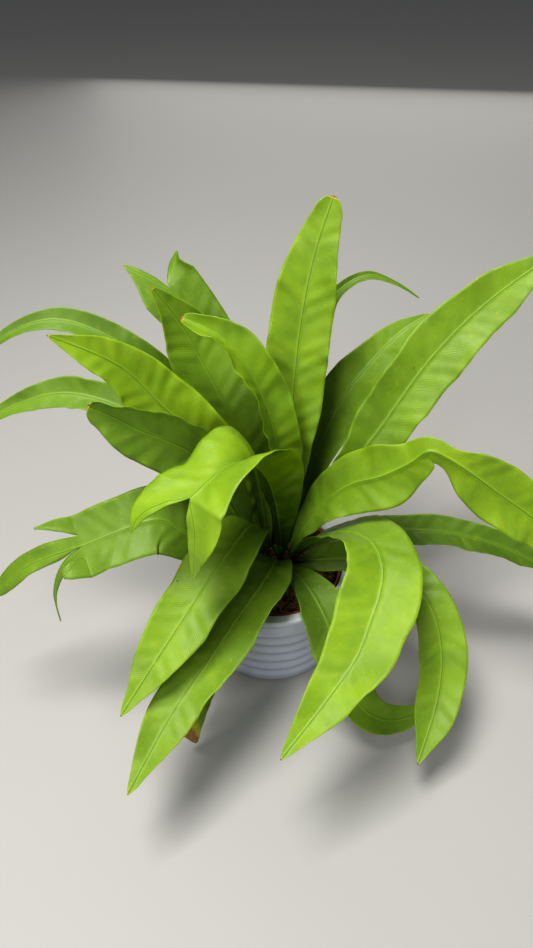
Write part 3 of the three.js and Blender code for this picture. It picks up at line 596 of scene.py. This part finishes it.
def blade_part(shape, rows, columns, rng, pointed):
    """Mid-surface points [row, column, xyz] of a blade or prong, with the millimetres along it, across
    it and to its margin."""
    line, length = centre_line(shape["route"], rows)
    t = np.linspace(0, 1, rows + 1)
    along = unit(np.gradient(line, axis=0))
    reach = rows // 5   # the blade's two sides follow its heading over this many rows each way
    ahead = line[np.minimum(np.arange(rows + 1) + reach, rows)]
    behind = line[np.maximum(np.arange(rows + 1) - reach, 0)]
    heading = ahead - behind + 0.15 * (line[-1] - line[0])
    heading[:, 2] = 0
    heading = smoothed(unit(heading), rows // 3)
    left = np.stack([-heading[:, 1], heading[:, 0], np.zeros(rows + 1)], 1)
    left = unit(left - along * (left * along).sum(1, keepdims=True))
    upper = unit(np.cross(along, left))
    roll = np.radians(smoothed(read_list(shape["roll"], t), rows // 6))[:, None]
    side = left * np.cos(roll) + upper * np.sin(roll)
    face = upper * np.cos(roll) - left * np.sin(roll)

    s = across_places(columns)[None, :]
    half_width = smoothed(read_list(shape["wide"], t) / 2, rows // 12)
    # The width strays by 6% over 32 to 90 mm, and a pointed tip closes over its last 3.5%.
    wavelengths, phases = rng.uniform(32, 90, 3), rng.uniform(0, TURN, 3)
    uneven = np.sin(TURN * t[:, None] * length / wavelengths + phases).mean(1)
    half_width = half_width * (1 + 0.06 * uneven)
    if pointed:
        close = np.clip((1 - t) / 0.035, 0, 1)
        half_width = np.maximum(half_width * np.sqrt(1 - (1 - close) ** 2), 0.12)
    half_width = half_width[:, None]
    fold, curl = (np.radians(np.where(s > 0, *(read_half(shape[key], t, half)[:, None] for half in (0, 1))))
                  for key in ("fold", "curl"))
    curl = curl * np.abs(s)
    soft_fold = fold * (1 - np.exp(-np.abs(s) * half_width / 1.2))
    chord = half_width * np.sinc(curl / 2 / math.pi)
    out = chord * s * np.cos(soft_fold + curl / 2)
    lift = chord * np.abs(s) * np.sin(soft_fold + curl / 2)
    points = line[:, None] + side[:, None] * out[..., None] + face[:, None] * lift[..., None]

    # Waves grow towards the margin, and shallow pleats follow the side veins. Wavelengths are in mm.
    turn = soft_fold + curl
    normal = (face[:, None] * np.cos(turn)[..., None]
              - side[:, None] * (np.sign(s) * np.sin(turn))[..., None])
    place = t[:, None] * length
    envelope = np.clip(half_width / 14, 0, 1) * np.clip(t[:, None] / 0.12, 0, 1)
    wave = np.zeros_like(points[..., 0])
    for half in (1, -1):
        long_wave, short_wave, swell = rng.uniform(46, 80), rng.uniform(19, 31), rng.uniform(70, 130)
        phases = rng.uniform(0, TURN, 3)
        ripple = np.sin(TURN * place / long_wave + phases[0])
        crinkle = np.sin(TURN * place / short_wave + phases[1])
        ripple = 0.8 * ripple + 0.4 * crinkle * np.sin(TURN * place / swell + phases[2])
        wave += np.where(s * half > 0, ripple * np.abs(s) ** 1.7, 0)
    lean = place - VEIN_LEAN * np.abs(s) * half_width
    pleat_phase = rng.uniform(0, TURN, 2)
    pleat = (np.sin(TURN * lean / 13.0 + pleat_phase[0])
             * (0.6 + 0.4 * np.sin(TURN * lean / 47.0 + pleat_phase[1])))
    pleat = pleat * np.clip(np.abs(s) * half_width / 5, 0, 1)
    points += normal * ((shape["wave"] * wave + 0.42 * pleat) * envelope)[..., None]

    across = s * half_width * np.ones_like(place)
    margin = half_width * (1 - np.abs(s)) * np.ones_like(place)
    return points, place + np.zeros_like(across), across, margin


def frond_sheet(frond, fern):
    """The mid-surface of a whole frond: points, quads, and its blade and tone values at each point."""
    rng = np.random.default_rng(frond["seed"] * 7919)
    columns = 4 * QUARTER
    kept, quads = [], []

    def keep(points, along, across, margin, browned):
        """Adds one row of points and returns their numbers. The stalk is dark over its first 26 mm."""
        first = sum(map(len, kept))
        stalk = np.clip(1 - (along - 4) / 22, 0, 1) * np.clip(1.4 - np.abs(across) / 3, 0, 1)
        age, browned = (np.full(len(along), value) for value in (frond["age"], browned))
        kept.append(np.column_stack([points, along, across, margin, age, browned, stalk]))
        return np.arange(first, first + len(along))

    def join(lower, upper):
        for a, b, c, d in zip(lower, upper, upper[1:], lower[1:]):
            quads.append([a, b, c, d])

    forked = frond.get("prongs", [])
    trunk = blade_part(frond, fern.rows, columns, rng, not forked)
    browning = frond.get("brown", 0)
    previous = []
    for row in range(fern.rows + 1):
        to_tip = 0 if forked else max(0, 1 - (1 - row / fern.rows) / max(browning * 2.2, 1e-3))
        numbers = keep(*(part[row] for part in trunk), to_tip)
        join(previous, numbers)
        previous = numbers
    first = 0
    for prong in forked:
        width = prong["share"] * QUARTER
        shape = {"fold": [8], "curl": [4], "roll": [frond["roll"][-1]], "wave": frond["wave"], **prong}
        parts = blade_part(shape, PRONG_ROWS, width, rng, True)
        cut = slice(first, first + width + 1)
        starts = [part[-1][cut] for part in trunk]
        own = [part[0] for part in parts]
        lower = previous[cut]
        for row in range(1, PRONG_ROWS + 1):
            t = row / PRONG_ROWS
            ease = (1 - t) ** 2
            points = parts[0][row] + (starts[0] - own[0]) * ease
            along = parts[1][row] + starts[1][0]
            across = parts[2][row] + (starts[2] - own[2]) * ease
            margin = parts[3][row] + (starts[3] - own[3]) * (1 - t) ** 4
            to_tip = max(0, 1 - (1 - t) / max(browning * 4, 1e-3))
            numbers = keep(points, along, across, margin, to_tip)
            join(lower, numbers)
            lower = numbers
        first += width
    kept = np.vstack(kept)
    return kept[:, :3], np.array(quads), kept[:, 3:6], kept[:, 6:]


def sheet_normals(points, quads):
    """The direction that a sheet of quads faces at each of its points."""
    a, b, c, d = (points[quads[:, i]] for i in range(4))
    face = np.cross(c - a, d - b)
    normals = np.zeros_like(points)
    for i in range(4):
        np.add.at(normals, quads[:, i], face)
    return unit(normals)


def build_frond(frond, fern, materials):
    """A closed blade: an upper skin with a raised midrib, a lower skin with a stout rib, and a thin rim."""
    points, quads, blade, tone = frond_sheet(frond, fern)
    normals = sheet_normals(points, quads)
    along, across, margin = blade.T
    length = along.max()
    thickness = fern.thickness / MM * (0.55 + 0.45 * np.clip(margin / 2.5, 0, 1))
    stout = np.clip(1 - along / length, 0, 1)
    from_rib = np.abs(across)
    # A line of relief along the midrib: raised, between two valleys, above, and a stout rib below.
    ridge = (0.16 + 0.25 * stout) * np.exp(-((from_rib / 0.75) ** 2))
    valley = 0.22 * np.exp(-(((from_rib - 1.9) / 0.9) ** 2))
    rib_below = (0.35 + 1.5 * stout**1.5) * np.exp(-((from_rib / (0.8 + 0.9 * stout)) ** 2))
    upper = points + normals * (thickness / 2 + ridge - valley)[:, None]
    lower = points - normals * (thickness / 2 + rib_below)[:, None]
    below = len(points)
    faces = quads.tolist() + (quads[:, [0, 3, 2, 1]] + below).tolist()
    edges = np.concatenate([quads[:, [i, (i + 1) % 4]] for i in range(4)])
    known = {(a, b) for a, b in edges.tolist()}
    rim = [(a, b) for a, b in edges.tolist() if (b, a) not in known]
    faces += [[b, a, a + below, b + below] for a, b in rim]
    skin = [0] * len(quads) + [1] * len(quads) + [0] * len(rim)
    piece = mesh_piece(frond["name"], np.vstack([upper, lower]), faces, materials, frond["name"],
                       skin)
    give(piece, "blade", np.vstack([blade, blade]))
    give(piece, "tone", np.vstack([tone, tone]))


# ---------------------------------------------------------------- crown, mix and pots
def build_crown(fern):
    """The rhizome's tip: a lumpy dome under overlapping papery scales."""
    low, high = node_box("crown")
    middle, radius = (low + high) / 2, (high[0] - low[0]) / 2
    foot, height = low[2], high[2] - low[2]
    rng = np.random.default_rng(5)
    core = 0.93
    profile = [(0, foot), (radius * 0.9, foot)]
    profile += [(radius * core * math.cos(a), foot + height * core * math.sin(a))
                for a in np.linspace(0.04, math.pi / 2, 24)]
    profile[-1] = (0, profile[-1][1])
    points, faces = turned(profile, 48)
    points = np.array(points)
    above = points[:, 2] > foot + 1
    points[:, 2] += 0.6 * np.sin(points[:, 0] * 0.9 + 1) * np.sin(points[:, 1] * 1.1) * above
    points = points.tolist()

    def add_scale(angle, rise, long, wide):
        """A pointed scale, three rows by three, lying on the dome and lifting at its tip."""
        base = len(points)
        for row, share in enumerate((0.0, 0.45, 1.0)):
            up = rise + share * long / radius
            out = 1.0 + 0.02 + 0.10 * share**2
            narrowing = (1, 0.85, 0.08)[row] / max(math.cos(min(up, 1.35)), 0.25)
            for column in (-1, 0, 1):
                spread = column * wide / radius * narrowing
                ring = radius * out * math.cos(min(up, 1.5))
                points.append((ring * math.cos(angle + spread), ring * math.sin(angle + spread),
                               foot + height * out * math.sin(min(up, 1.5)) + (0.4 if column == 0 else 0)))
        inner = len(points)
        for place in points[base:base + 9]:
            points.append((place[0] * core, place[1] * core, place[2] - 0.35))
        quads = [[a, a + 1, a + 4, a + 3] for a in (base, base + 1, base + 3, base + 4)]
        shift = inner - base
        faces.extend(quads)
        faces.extend([[d + shift, c + shift, b + shift, a + shift] for a, b, c, d in quads])
        loop = [0, 1, 2, 5, 8, 7, 6, 3]
        for a, b in zip(loop, loop[1:] + loop[:1]):
            faces.append([base + b, base + a, base + a + shift, base + b + shift])

    for ring in range(7):
        for _ in range(20 - 2 * ring):
            add_scale(rng.uniform(0, TURN), 0.08 + ring * 0.19, rng.uniform(4, 6.5),
                      rng.uniform(0.9, 1.5))
    points = np.array(points) + [middle[0], middle[1], 0]
    mesh_piece("crown_scaly", points, faces, [rhizome_material(fern)], "crown", smooth=False)


def mix_height(x, y, surface, reach):
    """The mix's uneven top, flat at the pot's wall."""
    edge = np.clip((reach - np.hypot(x, y)) / 8, 0, 1)
    lumps = np.sin(x / 4.1 + 1) * np.cos(y / 3.7) + 0.6 * np.sin((x + y) / 2.9)
    return surface - 1.3 + edge * (1.1 * lumps + 0.35 * np.sin(x / 1.3) * np.sin(y / 1.1 + 2))


def build_mix(pot):
    """The damp bulk of the mix with dry chips and fibres lying on and half in it."""
    low, high = node_box("potting_mix")
    reach = high[0] - 0.4
    surface = high[2] - 0.2
    rng = np.random.default_rng(11)
    rings, sides = 44, 120
    profile = [(0, low[2]), (reach * 0.74, low[2]), (reach * 0.78, low[2] + 2), (reach, surface - 8)]
    profile += [(reach * (1 - r / rings), surface) for r in range(rings + 1)]
    profile[-1] = (0, surface)
    points, faces = turned(profile, sides)
    points = np.array(points, float)
    top = points[:, 2] > surface - 0.1
    points[top, 2] = mix_height(points[top, 0], points[top, 1], surface, reach)
    bulk_faces = len(faces)
    points = points.tolist()
    shade = [0.3] * len(points)
    corner_signs = [(x, y, z) for z in (-1, 1) for x, y in ((-1, -1), (1, -1), (1, 1), (-1, 1))]
    box_faces = [[3, 2, 1, 0], [4, 5, 6, 7], [0, 1, 5, 4], [1, 2, 6, 5], [2, 3, 7, 6], [3, 0, 4, 7]]
    # Chips lie at all angles, spread evenly, with worn corners.
    for _ in range(pot.chips):
        radius = (reach - 1.5) * math.sqrt(rng.uniform(0, 1))
        angle = rng.uniform(0, TURN)
        x, y = radius * math.cos(angle), radius * math.sin(angle)
        z = float(mix_height(x, y, surface, reach)) + rng.uniform(-0.2, 0.7)
        half_size = np.array([rng.uniform(0.8, 2.9), rng.uniform(0.35, 0.95), rng.uniform(0.2, 0.45)])
        turn, tip, bank = rng.uniform(0, math.pi), rng.normal(0, 0.35), rng.normal(0, 0.35)
        forward = np.array([math.cos(turn) * math.cos(tip), math.sin(turn) * math.cos(tip), math.sin(tip)])
        side = np.array([-math.sin(turn), math.cos(turn), math.sin(bank)])
        side = side - forward * side.dot(forward)
        side /= np.linalg.norm(side)
        up = np.cross(forward, side)
        tone = rng.beta(2, 2.2)
        base = len(points)
        for sx, sy, sz in corner_signs:
            worn = rng.uniform(0.55, 1.0, 3) * half_size
            points.append((np.array([x, y, z]) + forward * sx * worn[0] + side * sy * worn[1]
                           + up * sz * worn[2]).tolist())
            shade.append(tone)
        faces.extend([[base + i for i in face] for face in box_faces])
    # A fibre is a bowed string of four-sided rings that arches a little off the mix.
    for _ in range(pot.fibres):
        radius = (reach - 9) * math.sqrt(rng.uniform(0, 1))
        angle = rng.uniform(0, TURN)
        turn, bow = rng.uniform(0, TURN), rng.normal(0, 0.12)
        x, y = radius * math.cos(angle), radius * math.sin(angle)
        step, thick, lift = rng.uniform(1.2, 2.4), rng.uniform(0.14, 0.3), rng.uniform(0.2, 1.3)
        tone = rng.uniform(0.35, 1.0)
        base, stations = len(points), 7
        for station in range(stations):
            arch = lift * math.sin(math.pi * station / (stations - 1))
            z = float(mix_height(x, y, surface, reach)) + 0.35 + arch
            side = (-math.sin(turn), math.cos(turn))
            for a, b in ((1, 0), (0, 1), (-1, 0), (0, -1)):
                points.append([x + side[0] * a * thick, y + side[1] * a * thick, z + b * thick])
                shade.append(tone)
            x, y, turn = x + step * math.cos(turn), y + step * math.sin(turn), turn + bow
            limit = (reach - 1.2) / max(math.hypot(x, y), 1e-6)
            x, y = x * min(limit, 1), y * min(limit, 1)
        for station in range(stations - 1):
            for i in range(4):
                a, b = base + station * 4 + i, base + station * 4 + (i + 1) % 4
                faces.append([a, b, b + 4, a + 4])
        faces.append([base + i for i in (3, 2, 1, 0)])
        faces.append([base + (stations - 1) * 4 + i for i in range(4)])
    skin = [0] * bulk_faces + [1] * (len(faces) - bulk_faces)
    piece = mesh_piece("coir_potting_mix", points, faces, mix_materials(), "potting_mix", skin,
                       smooth=False)
    give(piece, "shade", shade)


def build_nursery_pot(pot):
    """A thin moulded pot: tapered wall, band with a rolled lip at the mouth, and drain holes."""
    low, high = node_box("nursery_pot")
    rim, foot, top = high[0], low[2], high[2]
    base, shoulder, wall, band_foot = 43, 57, 1.2, top - 10
    recess, floor_top = foot + 0.8, foot + 1.9
    corners = [
        (0, recess), (36, recess), (37.5, foot), (41, foot), (base, foot + 2),
        (shoulder - 0.5, band_foot - 1), (rim - 1.2, band_foot), (rim - 0.5, top - 2.4), (rim, top - 2.0),
        (rim, top), (rim - 2.2, top), (rim - 2.6, top - 2), (shoulder - wall, band_foot - 2),
        (base - wall, foot + 3.4), (41 - wall, floor_top), (0, floor_top),
    ]
    points, faces = turned(rounded(corners, 0.7, 4), 160)
    piece = mesh_piece("terracotta_nursery_pot", points, faces, [plastic_material(pot)], "nursery_pot")
    holes, circle, bore, depth = 6, 28 * MM, 4 * MM, 8 * MM
    drills = bmesh.new()
    for hole in range(holes):
        angle = TURN * hole / holes
        made = bmesh.ops.create_cone(drills, cap_ends=True, segments=32, radius1=bore, radius2=bore,
                                     depth=depth)
        centre = Vector((circle * math.cos(angle), circle * math.sin(angle), (foot + 1) * MM))
        bmesh.ops.translate(drills, verts=made["verts"], vec=centre)
    drill_mesh = bpy.data.meshes.new("drain_drills")
    drills.to_mesh(drill_mesh)
    drills.free()
    drill = new_object("drain_drills", drill_mesh)
    cut = piece.modifiers.new("drain holes", "BOOLEAN")
    cut.object, cut.operation = drill, "DIFFERENCE"
    graph = bpy.context.evaluated_depsgraph_get()
    drilled = bpy.data.meshes.new_from_object(piece.evaluated_get(graph))
    piece.modifiers.clear()
    piece.data = drilled
    bpy.data.objects.remove(drill)


def build_cover_pot(pot):
    """The cover pot: ribbed wall, plain band, a small bead under the lip, and a flat rounded rim."""
    high = node_box("cover_pot")[1]
    rim, top = high[0], high[2]
    foot_radius, wall_radius, mouth, band_top, floor_top, pitch, ribs = 60, 64, 60.5, 77, 6, 12, 5
    start = (band_top - ribs * pitch) / 2 - 5
    depth = pot.rib_depth / MM

    def wall_at(z):
        return foot_radius + (wall_radius - foot_radius) * z / band_top

    foot_round, standing = 2.6, foot_radius - 3.2
    outside = [(0, 0), (standing, 0)]
    outside += [(standing + foot_round * math.sin(a), foot_round * (1 - math.cos(a)))
                for a in np.linspace(0.2, 1.35, 6)]
    per_rib = 18
    for step in range(ribs * per_rib + 1):
        z = start + step * pitch / per_rib
        bulge = abs(math.sin(math.pi * step / per_rib)) ** 0.62
        outside.append((wall_at(z) - depth * (1 - bulge), z))
    end = start + ribs * pitch
    for share in np.linspace(0.1, 1, 6):
        z = end + 3 * share
        outside.append((wall_at(z) - depth * (1 - share**0.5), z))
    lip = [
        (wall_radius, band_top - 1.2), (wall_radius + 0.2, band_top), (wall_radius + 1.9, band_top + 0.8),
        (wall_radius + 1.9, band_top + 2.6), (wall_radius + 1.0, band_top + 3.4),
        (wall_radius + 1.4, top - 5.2), (rim - 0.8, top - 4.2), (rim, top - 3.2), (rim, top - 1.2),
        (rim - 1.0, top), (mouth + 0.9, top), (mouth, top - 1.0), (mouth, band_top), (56, floor_top + 5),
        (51, floor_top), (0, floor_top),
    ]
    lip = rounded([outside[-1], *lip], 0.9, 4)[1:]
    points, faces = turned([*outside, *lip], 256)
    piece = mesh_piece("ribbed_cover_pot", points, faces, [glaze_material(pot, top)], "cover_pot")
    x, y, rise = np.array(points).T
    in_ribs = (rise > start) & (rise < end) & (np.hypot(x, y) > 57)
    # Painted shade: darker glaze colour in the grooves and at the foot, partly glaze that pools there and
    # partly painted shade.
    pooled_glaze_and_shade = np.where(in_ribs, 1 - np.abs(np.sin(math.pi * (rise - start) / pitch)) ** 0.5, 0)
    pooled_glaze_and_shade = np.maximum(pooled_glaze_and_shade, np.clip(1 - rise / 4, 0, 1) * 0.6)
    give(piece, "pooled_glaze_and_shade", pooled_glaze_and_shade)


# ---------------------------------------------------------------- operators
class FERN_OT_stage(bpy.types.Operator):
    """Makes the floor, the soft lights and the camera"""
    bl_idname = "fern.make_stage"
    bl_label = "Stage"

    def execute(self, context):
        scene = context.scene
        stage = scene.fern_stage
        mesh = bpy.data.meshes.new("floor")
        reach = 9.0
        mesh.from_pydata([(x * reach, y * reach, 0) for x, y in ((-1, -1), (1, -1), (1, 1), (-1, 1))],
                         [], [(0, 1, 2, 3)])
        material, _, shader = new_material("plain_pale_floor")
        feed(shader, {"Base Color": [*stage.floor, 1], "Roughness": 0.6})
        mesh.materials.append(material)
        new_object("floor", mesh)

        # Each light's place and size are in metres, and it shines at the middle of the plant.
        aim = Vector((0, 0, 0.18))
        for name, place, power, size, colour in (
                ("key_light", (-0.35, -0.2, 1.7), stage.key, 0.6, (1.0, 0.99, 0.96)),
                ("window_light", (-0.75, -1.5, 1.25), stage.window, 0.7, (0.96, 0.98, 1.0)),
                ("fill_light", (1.5, -0.9, 0.9), stage.window * 0.25, 1.2, (0.97, 0.98, 1.0)),
                ("wall_light", (0.3, 2.0, 1.0), stage.window * 0.9, 2.0, (1.0, 0.99, 0.97))):
            light = bpy.data.lights.new(name, "AREA")
            light.energy, light.size, light.color = power, size, colour
            new_object(name, light, place, (aim - Vector(place)).to_track_quat("-Z", "Y").to_euler())
        scene.world = bpy.data.worlds.new("studio")
        scene.world.use_nodes = True
        feed(scene.world.node_tree.nodes["Background"],
             {"Color": (0.93, 0.96, 1.0, 1), "Strength": stage.sky})
        scene.view_settings.view_transform = "Standard"
        scene.view_settings.look = "High Contrast"

        # The camera looks down at the plant from in front, a little over half a metre away.
        eye, look_down = (-0.005, -0.429, 0.539), math.radians(39.4)
        camera = bpy.data.cameras.new("camera")
        camera.sensor_width, camera.lens = 36, 27.04
        scene.camera = new_object("camera", camera, eye, (math.pi / 2 - look_down, 0, 0))
        return {"FINISHED"}


class FERN_OT_cover_pot(bpy.types.Operator):
    """Makes the glazed cover pot"""
    bl_idname = "fern.make_cover_pot"
    bl_label = "Cover pot"

    def execute(self, context):
        build_cover_pot(context.scene.fern_pots)
        return {"FINISHED"}


class FERN_OT_nursery_pot(bpy.types.Operator):
    """Makes the plastic nursery pot"""
    bl_idname = "fern.make_nursery_pot"
    bl_label = "Nursery pot"

    def execute(self, context):
        build_nursery_pot(context.scene.fern_pots)
        return {"FINISHED"}


class FERN_OT_mix(bpy.types.Operator):
    """Makes the coir potting mix"""
    bl_idname = "fern.make_mix"
    bl_label = "Potting mix"

    def execute(self, context):
        build_mix(context.scene.fern_pots)
        return {"FINISHED"}


class FERN_OT_crown(bpy.types.Operator):
    """Makes the scaly crown"""
    bl_idname = "fern.make_crown"
    bl_label = "Crown"

    def execute(self, context):
        build_crown(context.scene.fern_plant)
        return {"FINISHED"}


class FERN_OT_fronds(bpy.types.Operator):
    """Makes all the fronds"""
    bl_idname = "fern.make_fronds"
    bl_label = "Fronds"

    def execute(self, context):
        fern = context.scene.fern_plant
        materials = frond_materials(fern)
        for frond in FRONDS:
            build_frond(frond, fern, materials)
        return {"FINISHED"}


class FERN_PT_panel(bpy.types.Panel):
    """Lists the settings and the pieces"""
    bl_idname = "FERN_PT_panel"
    bl_label = "Potted Fern"
    bl_space_type = "VIEW_3D"
    bl_region_type = "UI"
    bl_category = "Potted Fern"

    def draw(self, context):
        scene = context.scene
        for settings in (scene.fern_plant, scene.fern_pots, scene.fern_stage):
            box = self.layout.box()
            for name in settings.__annotations__:
                box.prop(settings, name)
        for operator in OPERATORS:
            self.layout.operator(operator.bl_idname)


OPERATORS = (FERN_OT_stage, FERN_OT_cover_pot, FERN_OT_nursery_pot, FERN_OT_mix, FERN_OT_crown,
             FERN_OT_fronds)
CLASSES = (FernSettings, PotSettings, StageSettings, *OPERATORS, FERN_PT_panel)


def register():
    for item in CLASSES:
        bpy.utils.register_class(item)
    bpy.types.Scene.fern_plant = PointerProperty(type=FernSettings)
    bpy.types.Scene.fern_pots = PointerProperty(type=PotSettings)
    bpy.types.Scene.fern_stage = PointerProperty(type=StageSettings)


def unregister():
    del bpy.types.Scene.fern_plant, bpy.types.Scene.fern_pots, bpy.types.Scene.fern_stage
    for item in reversed(CLASSES):
        bpy.utils.unregister_class(item)


def main():
    register()
    bpy.ops.fern.make_stage()
    bpy.ops.fern.make_cover_pot()
    bpy.ops.fern.make_nursery_pot()
    bpy.ops.fern.make_mix()
    bpy.ops.fern.make_crown()
    bpy.ops.fern.make_fronds()


if __name__ == "__main__":
    main()
